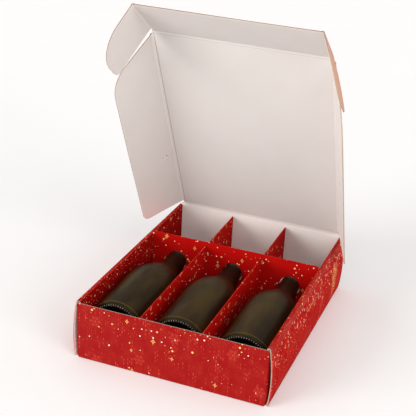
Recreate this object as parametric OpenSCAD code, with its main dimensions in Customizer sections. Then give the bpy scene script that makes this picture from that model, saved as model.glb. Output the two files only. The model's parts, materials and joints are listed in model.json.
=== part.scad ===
// Three-bottle gift box: a tray and a tuck-in lid folded from one corrugated blank,
// a cross divider and two long dividers that interlock, and three bottles lying in the lanes.
// Origin at the middle of the floor's underside, X along the front wall, Y to the rear, Z up.

/* [Bottles] */
// Radius of the bottle's body
bottle_r = 37.5; // [34:0.5:45]
// Length of the bottle
bottle_l = 250; // [235:1:290]
// Length of the bottle's straight body
body_l = 116; // [100:1:150]
// Length of the shoulder between body and neck
shoulder_l = 50; // [40:1:60]
// Radius of the neck
neck_r = 13; // [12:0.2:15]
// How far the hole holds the neck above the level of a lying bottle
neck_lift = 6.5; // [1:0.1:8]

/* [Room round the bottles] */
// Spare width of a lane beside its bottle
lane_gap = 7.6; // [4:0.2:16]
// Gap between the outer bottles' heels and the side walls
wall_gap = 0.4; // [0.4:0.2:2]
// Gap between the front wall and the bottles
front_gap = 26; // [8:1:40]
// Gap between the bottles and the rear wall
rear_gap = 62.8; // [10:0.2:80]
// Height of the side walls above the level of a lying bottle
head_gap = 6.7; // [5:0.1:20]

/* [Tray] */
// How far the front wall stays below the side walls
front_drop = 3; // [1:0.5:8]
// How far the outer side panels bulge
wall_bow = 3.5; // [1:0.5:8]
// How much further in the outer side panels stand at the top
top_inset = 1.8; // [0:0.2:4]
// Thickness of the corrugated board
board = 1.6; // [1.2:0.1:2]
// Length of the corner tabs inside the side walls
corner_tab_l = 60; // [30:1:120]
// Length of the locking tabs under the inner side panels
lock_tab_l = 46; // [20:1:80]
// Distance of the locking tabs from the middle of the wall
lock_tab_y = 95; // [60:1:110]

/* [Lid] */
// How far the lid's hinge stands above the side walls
hinge_rise = 4; // [3:0.5:8]
// How far the lid is open, 0 is shut
lid_open = 64.5; // [62:0.5:110]
// How far the lid's side flaps stay above the table when the box is shut
flap_gap = 9.5; // [6:0.5:30]
// Where the flap's lower edge leaves the fold, from the hinge
flap_start = 5; // [5:0.5:12]
// How far the flap's lower edge slants away from the hinge
flap_slant = 10; // [4:1:20]
// How far the flap's upper edge slants away from the tuck fold
flap_cut = 41; // [20:1:60]
// Radius of the flap's upper corner
flap_round = 48; // [20:1:60]
// Fold of the left side flap, 0 is flat with the lid
left_flap_fold = 59; // [0:1:64]
// Fold of the right side flap, 0 is flat with the lid
right_flap_fold = 66; // [0:1:68]

/* [Tuck] */
// How much shorter the tuck flap is than the front wall
tuck_short = 1.5; // [1:0.5:20]
// Fold of the tuck flap, 0 is flat with the lid
tuck_fold = 28; // [0:1:40]
// Length of the tuck flap's ears
ear_l = 78; // [50:1:90]
// Radius of the ears' outer corner
ear_round = 46; // [20:1:56]
// Fold of the left ear, 0 is flat with the tuck flap
left_ear_fold = 70; // [0:1:90]
// Fold of the right ear, 0 is flat with the tuck flap
right_ear_fold = 62; // [0:1:90]

/* [Dividers] */
// How far the cross divider stands behind the bottles' shoulders
neck_in = 34.4; // [16:0.2:40]
// How far the outer holes sit outside the middle of their lanes
hole_out = 2; // [0:0.2:3]
// How far the long dividers stay below the side walls
long_drop = 3; // [1:0.5:8]
// Distance of the spare slot behind the cross divider
spare_slot_at = 28; // [12:1:60]

/* [Hidden] */

// Clearances
fold_gap = 0.3;
layer_gap = 0.2;
slide_gap = 0.3;
floor_gap = 0.2;
slot_gap = 0.3;
tuck_gap = 1.5;
lid_gap = 0.4;
end_inset = 0.3;
hole_clear = 1.2;

// Smoothness of arcs and of turned bodies
arc_steps = 10;
large_fn = 360;
round_fn = 96;

// The three equal lanes, and the box round them
lane_w = 2*bottle_r + lane_gap;
long_x = (lane_w + board)/2;
lane_x = lane_w + board;
divider_z = board + floor_gap;
box_d = 2*board + front_gap + bottle_l + rear_gap;
wall_h = divider_z + 2*bottle_r + head_gap;
front_h = wall_h - front_drop;

// The side wall's layers, from the inside out: inner panel, corner tab, outer panel
roll_w = 3*board + 2*layer_gap;
roll_r = board;
x_in = (3*lane_w + 2*board)/2;
x_tab = x_in + board + layer_gap;
x_top = x_in + roll_w;
box_w = 2*(x_top + top_inset);
tab_top = min(front_h, wall_h - board - slide_gap);

// Fold axes of the lid and its flaps, which run through the middle of the board
bead_r = board/2;
fold_room = bead_r + fold_gap;
hinge_y = box_d/2 - board/2;
hinge_z = wall_h + hinge_rise;
lid_l = box_d - 2*board - tuck_gap;
lid_x = x_in - slide_gap - bead_r;
tuck_x = lid_x - board - layer_gap;
rear_h = hinge_z - fold_room;
flap_w = wall_h - flap_gap;
flap_stop = 6;
flap_end = lid_l - flap_stop;
flap_corner = 12;
tuck_d = front_h - tuck_short;
ear_start = 7;
ear_corner = 8;

// The bottles' place: the heel lies on the floor and the neck in its hole
heel_y = front_gap + board - box_d/2;
heel_z = divider_z + bottle_r;
neck_z = heel_z + neck_lift;
neck_y = body_l + shoulder_l;
hole_at = neck_y + neck_in;
bottle_tilt = atan(neck_lift/hole_at);
heel_out = lane_gap/2 - wall_gap;
bottle_yaw = atan((heel_out - hole_out)/hole_at);

// The dividers
cross_top = hinge_z - bead_r - lid_gap;
long_top = wall_h - long_drop;
lap_z = (divider_z + long_top)/2;
cross_y = heel_y + hole_at;
long_l = box_d - 2*board - 2*slide_gap;
slot_w = board + 2*slot_gap;

// The bottle's outline, and the hole that fits its neck
punt_h = 24;
base_w = 6.5;
punt_r = bottle_r - base_w;
punt_taper = 15;
punt_top_r = punt_r - punt_taper;
heel_r = 4;
neck_extra_r = 1.8;
ring_l = 8;
ring_step = 0.9;
ring_r = neck_r + ring_step;
lip_l = 10;
lip_step = 0.3;
lip_r = neck_r + lip_step;
punt_round = 9;
rim_round = 3;
shoulder_round = 110;
neck_round = 44;
ring_round = 1;
ring_y = bottle_l - lip_l - ring_l;
seat_r = neck_r + neck_extra_r*(ring_y - hole_at)/(ring_y - neck_y);
hole_r = seat_r + hole_clear;
hole_z = neck_z - seat_r - slide_gap + hole_r;

print_red = "firebrick";
liner_white = "whitesmoke";
bottle_glass = "darkolivegreen";

// Points of an outline whose corners are rounded, each to its own radius
function unit(v) = v/norm(v);
function turn(v, a) = [v[0]*cos(a) - v[1]*sin(a), v[0]*sin(a) + v[1]*cos(a)];
function corner_arc(before, corner, after, radius) =
    let (u = unit(before - corner))
    let (v = unit(after - corner))
    let (half = acos(u*v)/2)
    let (centre = corner + unit(u + v)*radius/sin(half))
    let (first = corner + u*radius/tan(half) - centre)
    let (way = u[0]*v[1] - u[1]*v[0] > 0 ? -1 : 1)
    [for (i = [0:arc_steps]) centre + turn(first, way*(180 - 2*half)*i/arc_steps)];
function rounded(points, radii) =
    let (n = len(points))
    [for (i = [0:n - 1])
        each radii[i] == 0 ? [points[i]]
            : corner_arc(points[(i + n - 1) % n], points[i], points[(i + 1) % n], radii[i])];

// Centre of the circle that bulges to the right of the line from a to b by the given rise
function arc_radius(a, b, rise) = pow(norm(b - a), 2)/(8*rise) + rise/2;
function arc_centre(a, b, rise) =
    let (n = [b[1] - a[1], a[0] - b[0]]/norm(b - a))
    (a + b)/2 - n*(arc_radius(a, b, rise) - rise);

// A flat panel of board that lies on the fold plane
module sheet(points)
    linear_extrude(board, center = true) polygon(points);

// The round fold edge of a panel, from one point to another along the fold
module bead(length)
    cylinder(r = bead_r, h = length, center = true, $fn = round_fn);

// A quarter of a rod, the outside of a folded corner
module fold_corner(length)
    linear_extrude(length, center = true) intersection() {
        circle(r = board, $fn = round_fn);
        square(board);
    }

// Section of a right side wall: the bowed outer panel and the rolled top strip
module roll_section() {
    foot = [box_w/2, board];
    shoulder = [x_top, wall_h - roll_r];
    bow_r = arc_radius(foot, shoulder, wall_bow);
    intersection() {
        translate(arc_centre(foot, shoulder, wall_bow)) difference() {
            circle(r = bow_r, $fn = large_fn);
            circle(r = bow_r - board, $fn = large_fn);
        }
        translate([x_tab, board]) square([box_w, wall_h - roll_r - board]);
    }
    difference() {
        union() {
            translate([x_in + roll_r, wall_h - board]) square([roll_w - 2*roll_r, board]);
            for (x = [x_in + roll_r, x_top - roll_r])
                translate([x, wall_h - roll_r]) circle(r = roll_r, $fn = round_fn);
        }
        translate([x_in, wall_h - 2*roll_r]) square([roll_w, roll_r]);
    }
}

module side_wall() {
    rotate([90, 0, 0]) linear_extrude(box_d - 2*end_inset, center = true) roll_section();
    translate([box_w/2 - board, 0, board]) rotate([90, 0, 0]) mirror([0, 1, 0]) fold_corner(box_d - 2*board);
    inner_l = box_d - 2*board - 2*slide_gap;
    translate([x_in, -inner_l/2, divider_z]) cube([board, inner_l, wall_h - roll_r - divider_z]);
    for (side = [-1, 1])
        translate([x_in, side*lock_tab_y - lock_tab_l/2, layer_gap]) cube([board, lock_tab_l, divider_z]);
}

// A front or rear wall with its corner tabs, drawn as the front one
module end_wall(height) {
    translate([-x_tab, -box_d/2, board]) cube([2*x_tab, board, height - board]);
    translate([0, board - box_d/2, board]) rotate([0, 90, 0]) rotate([0, 0, -90]) fold_corner(2*x_tab);
    for (side = [0, 1]) mirror([side, 0, 0]) {
        translate([x_tab, board - box_d/2, (divider_z + tab_top)/2])
            mirror([0, 1, 0]) fold_corner(tab_top - divider_z);
        translate([x_tab, board - box_d/2, divider_z]) cube([board, corner_tab_l, tab_top - divider_z]);
    }
}

module tray() color(print_red) difference() {
    union() {
        translate([board - box_w/2, board - box_d/2, 0]) cube([box_w - 2*board, box_d - 2*board, board]);
        for (side = [0, 1]) mirror([side, 0, 0]) side_wall();
        end_wall(front_h);
        mirror([0, 1, 0]) end_wall(rear_h);
    }
    for (x = [-1, 1], y = [-1, 1])
        lock_slot(x, y);
}

// Clear room round a locking tab where it passes the floor
module lock_slot(x, y) {
    room_w = board + 2*layer_gap;
    room_l = lock_tab_l + 2*layer_gap;
    translate([x*(x_in + board/2), y*lock_tab_y, 0]) difference() {
        translate([-room_w/2, -room_l/2, -board]) cube([room_w, room_l, 2*board]);
        translate([-board/2, -lock_tab_l/2, layer_gap]) cube([board, lock_tab_l, 2*board]);
    }
}

// Places a piece of the lid, whose fold plane is the lid's own
module on_lid()
    translate([0, hinge_y, hinge_z]) rotate([-lid_open, 0, 0]) children();

module on_tuck()
    on_lid() translate([0, -lid_l, 0]) rotate([tuck_fold, 0, 0]) children();

module lid_panel() color(liner_white) on_lid() {
    half = lid_x - fold_room;
    far = fold_room - lid_l;
    sheet([[-half, 0], [-half, far], [half, far], [half, 0]]);
    rotate([0, 90, 0]) bead(2*half);
}

// A side flap with its fold on the Y axis, reaching to +X
module side_flap() {
    sheet(rounded(
        [[0, -flap_start], [flap_w, -flap_start - flap_slant], [flap_w, flap_cut - flap_end], [0, -flap_end]],
        [0, flap_corner, flap_round, 0]));
    translate([0, -(flap_start + flap_end)/2, 0]) rotate([90, 0, 0]) bead(flap_end - flap_start);
}

module left_side_flap() color(liner_white)
    on_lid() translate([-lid_x, 0, 0]) rotate([0, -left_flap_fold, 0]) mirror([1, 0, 0]) side_flap();

module right_side_flap() color(liner_white)
    on_lid() translate([lid_x, 0, 0]) rotate([0, right_flap_fold, 0]) side_flap();

module tuck_flap() color(liner_white) on_tuck() {
    half = tuck_x - fold_room;
    sheet([[-half, 0], [-half, -tuck_d], [half, -tuck_d], [half, 0]]);
    rotate([0, 90, 0]) bead(2*half);
}

// An ear of the tuck flap with its fold on the Y axis, reaching to +X
module ear() {
    sheet(rounded(
        [[0, -ear_start], [ear_l, -ear_start], [ear_l, -tuck_d], [0, -tuck_d]],
        [0, ear_corner, ear_round, 0]));
    translate([0, -(ear_start + tuck_d)/2, 0]) rotate([90, 0, 0]) bead(tuck_d - ear_start);
}

module left_ear() color(liner_white)
    on_tuck() translate([-tuck_x, 0, 0]) rotate([0, -left_ear_fold, 0]) mirror([1, 0, 0]) ear();

module right_ear() color(liner_white)
    on_tuck() translate([tuck_x, 0, 0]) rotate([0, right_ear_fold, 0]) ear();

module cross_divider() color(print_red) {
    half = x_in - slide_gap;
    translate([0, cross_y, 0]) rotate([90, 0, 0]) linear_extrude(board, center = true) difference() {
        translate([-half, divider_z]) square([2*half, cross_top - divider_z]);
        for (x = [-long_x, long_x])
            translate([x - slot_w/2, 0]) square([slot_w, lap_z + layer_gap]);
        for (side = [-1, 0, 1])
            translate([side*(lane_x + hole_out), hole_z]) circle(r = hole_r, $fn = round_fn);
    }
}

// A long divider with the slot that holds the cross divider and a spare one behind it
module long_divider(x) {
    translate([x, 0, 0]) rotate([90, 0, 90]) linear_extrude(board, center = true) difference() {
        translate([-long_l/2, divider_z]) square([long_l, long_top - divider_z]);
        for (y = [cross_y, cross_y + spare_slot_at])
            translate([y - slot_w/2, lap_z - layer_gap]) square([slot_w, long_top]);
    }
}

module left_divider() color(print_red) long_divider(-long_x);

module right_divider() color(print_red) long_divider(long_x);

// A bottle on its own axis, standing on its base ring
module upright_bottle()
    rotate_extrude($fn = round_fn) polygon(rounded(
        [[0, punt_h], [punt_top_r, punt_h], [punt_r, 0], [bottle_r, 0], [bottle_r, body_l],
         [neck_r + neck_extra_r, neck_y], [neck_r, ring_y], [ring_r, ring_y], [ring_r, ring_y + ring_l],
         [lip_r, ring_y + ring_l], [lip_r, bottle_l], [0, bottle_l]],
        [0, punt_round, rim_round, heel_r, shoulder_round,
         neck_round, 0, ring_round, ring_round,
         0, ring_round, 0]));

// A bottle in its lane, -1 left, 0 middle and 1 right
module bottle(side)
    translate([side*(lane_x + heel_out), heel_y, heel_z])
        rotate([bottle_tilt - 90, 0, side*bottle_yaw]) upright_bottle();

module left_bottle() color(bottle_glass) bottle(-1);

module middle_bottle() color(bottle_glass) bottle(0);

module right_bottle() color(bottle_glass) bottle(1);

tray();
lid_panel();
left_side_flap();
right_side_flap();
tuck_flap();
left_ear();
right_ear();
cross_divider();
left_divider();
right_divider();
left_bottle();
middle_bottle();
right_bottle();
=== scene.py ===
"""Gift box for three bottles: the finish of its board, print and glass, and the studio that it stands in."""

import json
import math
from typing import NamedTuple

import bmesh
import bpy
from mathutils import Matrix, Vector, noise


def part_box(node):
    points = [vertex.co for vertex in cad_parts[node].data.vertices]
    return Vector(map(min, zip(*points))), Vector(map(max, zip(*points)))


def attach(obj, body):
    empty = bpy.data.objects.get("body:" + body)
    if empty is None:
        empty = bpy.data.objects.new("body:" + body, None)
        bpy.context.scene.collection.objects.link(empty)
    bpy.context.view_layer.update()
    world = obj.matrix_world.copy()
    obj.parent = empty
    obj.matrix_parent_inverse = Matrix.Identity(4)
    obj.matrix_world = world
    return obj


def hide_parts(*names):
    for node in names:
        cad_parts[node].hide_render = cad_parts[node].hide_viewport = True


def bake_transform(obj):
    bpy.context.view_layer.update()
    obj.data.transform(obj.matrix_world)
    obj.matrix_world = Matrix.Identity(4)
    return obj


bl_info = {
    "name": "Three-bottle gift box",
    "version": (1, 0, 0),
    "blender": (4, 5, 0),
    "location": "View3D > Sidebar > Gift box",
    "description": "Dresses the board, the print and the bottles of a gift box",
    "category": "Object",
}

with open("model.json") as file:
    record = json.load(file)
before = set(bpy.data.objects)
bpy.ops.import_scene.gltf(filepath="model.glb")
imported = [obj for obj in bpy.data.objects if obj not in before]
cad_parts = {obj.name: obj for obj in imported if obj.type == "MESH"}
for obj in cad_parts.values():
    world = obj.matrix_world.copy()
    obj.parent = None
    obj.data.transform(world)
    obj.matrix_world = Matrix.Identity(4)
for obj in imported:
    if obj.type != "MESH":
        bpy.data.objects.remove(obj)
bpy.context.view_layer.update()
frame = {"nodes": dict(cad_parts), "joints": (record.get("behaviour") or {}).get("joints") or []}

MM = 0.001
IMAGE_SIDE = 416
SENSOR_MM = 36.0

# Places that the frame gives
JOINTS = {joint["name"]: joint for joint in frame["joints"]}
RIGHT = Vector((1.0, 0.0, 0.0))
FRONT = Vector((0.0, -1.0, 0.0))
UP = Vector((0.0, 0.0, 1.0))
TRAY_LOW, TRAY_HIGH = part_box("tray")
TRAY_MIDDLE = (TRAY_LOW + TRAY_HIGH) / 2
CROSS_LOW, CROSS_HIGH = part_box("cross_divider")
BOARD = CROSS_HIGH.y - CROSS_LOW.y
INNER_X = CROSS_HIGH.x
HINGE = Vector(JOINTS["lid_hinge"]["pos_m"])
TUCK_FOLD = Vector(JOINTS["tuck_fold"]["pos_m"])
LID_WAY = Vector(JOINTS["left_flap_fold"]["axis"]).normalized()
TUCK_WAY = Vector(JOINTS["left_ear_fold"]["axis"]).normalized()
FLAP_FOLD_X = JOINTS["right_flap_fold"]["pos_m"][0]
BOTTLE_LOW, BOTTLE_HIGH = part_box("middle_bottle")
BOTTLE_R = (BOTTLE_HIGH.x - BOTTLE_LOW.x) / 2

# Tolerances of the mesh work
MERGE = 1e-6
FLAT_ANGLE = math.radians(0.3)
SHARP_ANGLE = math.radians(30)
CUT_ANGLE = math.radians(70)
LONG_EDGE = 100 * MM

# Least share of a face's normal along a way, from a face square to it to the side of a roll
SQUARE, LOOKS, UNDER, LEANS, SLANTS, ROLLS = 0.9, 0.7, 0.6, 0.5, 0.3, 0.12

# Where the prints of the walls and the floor lie on the flat sheet, so that no two are alike
FRONT_AT, RIGHT_AT, LEFT_AT, REAR_AT, FLOOR_AT = 0.0, 1.0, 3.0, 5.0, 7.0

# How a bottle lies, in millimetres: its hole's distance from the heel, and the neck's shifts up and inwards
HOLE_AT = 200.4
NECK_LIFT = 6.5
NECK_SHIFT = 1.4


def length_prop(name, description, millimetres):
    """A length that a user can set, given in millimetres."""
    return bpy.props.FloatProperty(
        name=name, description=description, default=millimetres * MM, unit="LENGTH")


def angle_prop(name, description, radians):
    """An angle that a user can set."""
    return bpy.props.FloatProperty(name=name, description=description, default=radians, subtype="ANGLE")


def number_prop(name, description, number):
    """A plain number that a user can set."""
    return bpy.props.FloatProperty(name=name, description=description, default=number)


def colour_prop(name, description, red, green, blue):
    """A colour that a user can set."""
    return bpy.props.FloatVectorProperty(
        name=name, description=description, default=(red, green, blue, 1.0), size=4, subtype="COLOR")


class BoardSettings(bpy.types.PropertyGroup):
    """Sizes of the corrugated board and its folds."""

    edge_round: length_prop("Edge round", "How far a cut edge of the board is pressed round", 0.22)
    flute_pitch: length_prop("Flute pitch", "Distance from one flute of the board to the next", 3.3)
    grid: length_prop("Grid", "Size of the faces that let a panel bend", 15)
    warp: length_prop("Warp", "How far the free edges of the panels curl", 1.0)
    flap_bend: length_prop("Flap bend", "How far the right side flap bends in", 2.4)
    ear_bend: length_prop("Ear bend", "How far the right ear bends in", 5.0)
    score_inset: length_prop("Score inset", "Distance of a score line from its fold", 3.3)
    score_half: length_prop("Score half width", "Half the width of a score line", 0.45)
    score_depth: length_prop("Score depth", "How deep a score line is pressed into the liner", 0.35)
    ladder_depth: length_prop("Ladder depth", "How deep the flutes of the wall tops are crushed", 0.3)
    crease_reach: length_prop("Crease reach", "How far the bent paper reaches to each side of a fold", 2.7)
    crease_t: length_prop("Crease paper", "Thickness of the paper that bends round a fold", 0.12)
    wall_bow: length_prop("Wall bow", "How far the outer side panels bulge", 3.5)
    top_inset: length_prop("Top inset", "How much further in the side panels stand at the top", 1.8)
    wall_drop: length_prop("Wall drop", "How far the side walls stay below the rear wall", 3.0)


class PrintSettings(bpy.types.PropertyGroup):
    """Colours and sizes of the print and of the plain liner."""

    red: colour_prop("Red", "Ground of the print", 0.330, 0.0030, 0.0025)
    light_red: colour_prop("Light red", "Streaks and snowflakes of the print", 0.66, 0.075, 0.045)
    gold: colour_prop("Gold", "Sparkles and some of the dots", 0.86, 0.52, 0.17)
    cream: colour_prop("Cream", "The other dots and the rain", 0.93, 0.80, 0.62)
    liner: colour_prop("Liner", "White paper inside the box", 0.715, 0.667, 0.642)
    # The colour of the score lines is painted shade in their grooves
    score: colour_prop("Score", "Pressed paper of the score lines", 0.47, 0.385, 0.325)
    # The ears' outer side is the red print painted salmon, a highlight of grazing light
    bare: colour_prop("Bare", "Outer paper of the ears, which has no print", 0.62, 0.33, 0.22)
    # The brown of the cut edges is darkened as painted shade of the edges
    core: colour_prop("Core", "Paper of the cut edges", 0.40, 0.27, 0.19)
    dot_cell: length_prop("Dot cell", "Distance between the dots of the print", 6.5)
    dot_r: length_prop("Dot radius", "Radius that the dots of all layers are sized from", 1.15)
    dot_blur: length_prop("Dot blur", "How far the rim of a dot is soft", 0.15)
    sparkle_cell: length_prop("Sparkle cell", "Distance between the sparkles", 30)
    sparkle_r: length_prop("Sparkle reach", "Length of a sparkle's rays", 5.2)
    flake_cell: length_prop("Flake cell", "Distance between the faint snowflakes", 58)
    flake_r: length_prop("Flake reach", "Length of a snowflake's arms", 8.5)
    flake_line: length_prop("Flake line", "Half the thickness of a snowflake's lines", 0.34)
    shower_w: length_prop("Shower half width", "Half the width of a patch of fine golden dots", 15)
    shower_h: length_prop("Shower half height", "Half the height of a patch of fine golden dots", 30)
    streak_pitch: length_prop("Streak pitch", "Distance between the dotted streaks", 2.9)
    streak_dash: length_prop("Streak dash", "Distance from one dash of a streak to the next", 6.2)
    rain_dash: length_prop("Rain dash", "Distance from one dash of the rain to the next", 9.5)


class BottleSettings(bpy.types.PropertyGroup):
    """Sizes and colours of the bottles."""

    body_l: length_prop("Body", "Length of the straight body", 116)
    shoulder_l: length_prop("Shoulder", "Length of the shoulder", 50)
    length: length_prop("Length", "Length of the bottle", 250)
    neck_r: length_prop("Neck radius", "Radius of the neck below its ring", 13)
    tilt: angle_prop("Tilt", "How far the neck is lifted by its hole", math.atan(NECK_LIFT / HOLE_AT))
    yaw: angle_prop("Yaw", "How far the outer bottles point to the middle", math.atan(NECK_SHIFT / HOLE_AT))
    grip_n: bpy.props.IntProperty(
        name="Grip marks", description="Number of grip marks round the base", default=64)
    grip_r: length_prop("Grip mark radius", "Size of a grip mark", 0.75)
    grip_inset: length_prop("Grip inset", "How far the grip marks stand inside the body's radius", 3.6)
    glass: colour_prop("Glass", "Dark olive of the filled bottle", 0.0128, 0.0074, 0.0023)
    # A yellow green mixed into the glass as a painted glow of light shining through it
    thick_glass: colour_prop("Thick glass", "Yellow green where the glass is thick", 0.14, 0.09, 0.012)


class StageSettings(bpy.types.PropertyGroup):
    """The camera, the lights and the floor."""

    azimuth: angle_prop("Azimuth", "Camera's turn to the right of the front wall", math.radians(20.0))
    elevation: angle_prop("Elevation", "Camera's height above the horizon", math.radians(24.36))
    roll: angle_prop("Roll", "Turn of the picture", math.radians(3.28))
    distance: length_prop("Distance", "From the camera to what it looks at", 1369)
    target: bpy.props.FloatVectorProperty(
        name="Target", description="What the camera looks at", default=(-0.0193, -0.0070, 0.1707),
        subtype="TRANSLATION", unit="LENGTH")
    focal_px: number_prop("Focal length", "Focal length in pixels of the square picture", 1021.4)
    floor_half: length_prop("Floor", "Half the width of the floor", 40000)
    floor_drop: length_prop("Floor drop", "How far the floor lies below the tray", 0.2)
    floor_colour: colour_prop("Floor colour", "Pale floor", 0.93, 0.93, 0.93)
    sky: number_prop("Sky", "Strength of the even light", 0.673)
    key: number_prop("Key light", "Strength of the low light from the front left", 2.04)
    top: number_prop("Top light", "Strength of the light from high in front", 0.6)
    fill: number_prop("Fill light", "Strength of the light from the right", 0.99)
    softness: angle_prop("Softness", "How wide each light looks from the box", math.radians(35))


NOISE_ROUGHNESS = 0.55


def pairing(operation):
    """A method that works out a new value from a value and another."""
    return lambda value, other: value.finish.math(operation, value, other)


class Value:
    """A number that varies over a surface. What is worked out from it becomes nodes of its finish."""

    def __init__(self, finish, socket):
        self.finish = finish
        self.socket = socket

    __add__, __sub__, __mul__ = map(pairing, ("ADD", "SUBTRACT", "MULTIPLY"))
    __truediv__, __lt__, __gt__ = map(pairing, ("DIVIDE", "LESS_THAN", "GREATER_THAN"))

    def __rsub__(self, other):
        return self.finish.math("SUBTRACT", other, self)

    def __abs__(self):
        return self.finish.math("ABSOLUTE", self)

    def fract(self):
        return self.finish.math("FRACT", self)


class Finish:
    """A material, with short ways to add and link its nodes."""

    def __init__(self, name):
        self.material = bpy.data.materials.new(name)
        self.material.use_nodes = True
        self.tree = self.material.node_tree
        self.tree.nodes.clear()
        self.shader = self.add("ShaderNodeBsdfPrincipled")
        self.add("ShaderNodeOutputMaterial", {"Surface": self.shader.outputs["BSDF"]})

    def add(self, kind, inputs=(), **settings):
        """A node with these settings. inputs pairs the names or numbers of its sockets with their values."""
        node = self.tree.nodes.new(kind)
        for key, value in settings.items():
            setattr(node, key, value)
        for key, value in dict(inputs).items():
            self.feed(node.inputs[key], value)
        return node

    def feed(self, socket, value):
        if isinstance(value, Value):
            value = value.socket
        if isinstance(value, bpy.types.NodeSocket):
            self.tree.links.new(value, socket)
        else:
            socket.default_value = value

    def math(self, operation, *values, clamp=False):
        node = self.add("ShaderNodeMath", enumerate(values), operation=operation, use_clamp=clamp)
        return Value(self, node.outputs[0])

    def vector(self, operation, first, second):
        node = self.add("ShaderNodeVectorMath", {0: first, 1: second}, operation=operation)
        return node.outputs["Vector"]

    def length(self, vector):
        return Value(self, self.add("ShaderNodeVectorMath", {0: vector}, operation="LENGTH").outputs["Value"])

    def parts(self, vector):
        return [Value(self, output) for output in self.add("ShaderNodeSeparateXYZ", {0: vector}).outputs]

    def point(self, x, y):
        return self.add("ShaderNodeCombineXYZ", {"X": x, "Y": y}).outputs[0]

    def mix(self, share, first, second):
        """A mix of two colours. The node's colour sockets are found by number, as their names repeat."""
        return self.add("ShaderNodeMix", {0: share, 6: first, 7: second}, data_type="RGBA").outputs[2]

    def ramp(self, value, low, high, to_low=0.0, to_high=1.0):
        inputs = {"Value": value, "From Min": low, "From Max": high, "To Min": to_low, "To Max": to_high}
        node = self.add("ShaderNodeMapRange", inputs, interpolation_type="SMOOTHSTEP")
        return Value(self, node.outputs["Result"])

    def noise(self, vector, scale, detail):
        inputs = {"Vector": vector, "Scale": scale, "Detail": detail, "Roughness": NOISE_ROUGHNESS}
        return Value(self, self.add("ShaderNodeTexNoise", inputs, noise_dimensions="3D").outputs["Fac"])

    def cells(self, vector, cell, randomness=1.0):
        """Scattered cells: the way from each cell's middle, and three random numbers of the cell."""
        inputs = {"Vector": vector, "Scale": 1.0 / cell, "Randomness": randomness}
        node = self.add("ShaderNodeTexVoronoi", inputs, voronoi_dimensions="2D", feature="F1")
        colour = self.add("ShaderNodeSeparateColor", {0: node.outputs["Color"]})
        away = self.vector("SUBTRACT", vector, node.outputs["Position"])
        return away, *(Value(self, output) for output in colour.outputs)

    def flat(self):
        """The place on the flat sheet, in metres."""
        return self.add("ShaderNodeUVMap", uv_map="Sheet").outputs["UV"]

    def place(self):
        return self.add("ShaderNodeTexCoord").outputs["Object"]

    def bump(self, height, distance, strength):
        node = self.add("ShaderNodeBump", {"Height": height, "Distance": distance, "Strength": strength})
        self.feed(self.shader.inputs["Normal"], node.outputs["Normal"])

    def set(self, **sockets):
        for name, value in sockets.items():
            self.feed(self.shader.inputs[name.replace("_", " ")], value)


def shaded(colour, share):
    """A colour made darker or lighter."""
    return tuple(channel * share for channel in colour[:3]) + (1.0,)


def swing(value, pitch):
    """A wave from -1 to 1 along a length."""
    return value.finish.math("SINE", value * (2 * math.pi / pitch))


def flutes(value, board):
    """The flutes of the board across a length, from 0 to 1."""
    return swing(value, board.flute_pitch) * 0.5 + 0.5


def dots(finish, flat, colours, spread, size, share):
    """Round dots of mixed size. Returns where they are and a random number for each."""
    away, there, grown, hue = finish.cells(flat, colours.dot_cell * spread)
    radius = colours.dot_r * size
    rim = grown * (radius * 0.45) + radius * 0.55 - finish.length(away)
    return finish.ramp(rim, -colours.dot_blur, colours.dot_blur) * (there < share), hue


def sparkles(finish, flat, colours, share):
    """Outlined stars with four rays, taller than wide."""
    away, there, size, _ = finish.cells(flat, colours.sparkle_cell, 0.85)
    sides = []
    for side, tall in zip(finish.parts(away), (0.85, 1.15)):
        reach = colours.sparkle_r * tall
        sides.append(finish.math("SQRT", abs(side) / (size * (reach * 0.4) + reach * 0.7)))
    star = sides[0] + sides[1]
    outline = finish.ramp(star, 1.0, 0.94) - finish.ramp(star, 0.74, 0.66)
    return finish.math("MULTIPLY", outline, there < share, clamp=True)


def flakes(finish, flat, colours):
    """Faint six-armed snowflakes drawn with thin lines."""
    reach, line = colours.flake_r, colours.flake_line
    away, there, _, _ = finish.cells(flat, colours.flake_cell, 0.7)
    x, y, _ = finish.parts(away)
    turn = finish.math("PINGPONG", finish.math("ARCTAN2", y, x), math.pi / 6)
    radius = finish.length(away)
    along = radius * finish.math("COSINE", turn)
    aside = radius * finish.math("SINE", turn)
    drawn = (aside < line) * (along < reach)
    for start, branch in ((0.38, 0.30), (0.64, 0.22)):
        twig = (abs(along - reach * start - aside) < line * 1.3) * (aside < reach * branch)
        drawn = finish.math("MAXIMUM", drawn, twig)
    return drawn * (there < 0.8)


def streaks(finish, flat, pitch, share, dash):
    """Upright streaks of short dashes."""
    x, y, _ = finish.parts(flat)
    column = x / pitch
    number = finish.math("FLOOR", column)
    thin = finish.ramp(abs(column.fract() - 0.5), 0.24, 0.14)
    there = finish.noise(finish.point(number * 7.31, y * 45.0), 1.0, 1.0) > 1.0 - share
    step = (y / dash + (number * 0.37).fract()).fract()
    drawn = step < (number * 0.618).fract() * 0.5 + 0.25
    return thin * there * drawn


def shower(finish, flat, colours, places):
    """Dense fine dots in tall patches round the given places of the sheet."""
    grains, _ = dots(finish, flat, colours, 0.42, 1.0, 0.85)
    ragged = finish.noise(flat, 120.0, 2.0) * 0.9
    patches = 0.0
    for place in places:
        away = finish.vector("SUBTRACT", flat, place)
        scaled = finish.vector("MULTIPLY", away, (1 / colours.shower_w, 1 / colours.shower_h, 0.0))
        patch = finish.ramp(ragged + finish.length(scaled), 1.45, 1.1)
        patches = finish.math("MAXIMUM", patches, patch)
    return grains * patches


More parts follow.
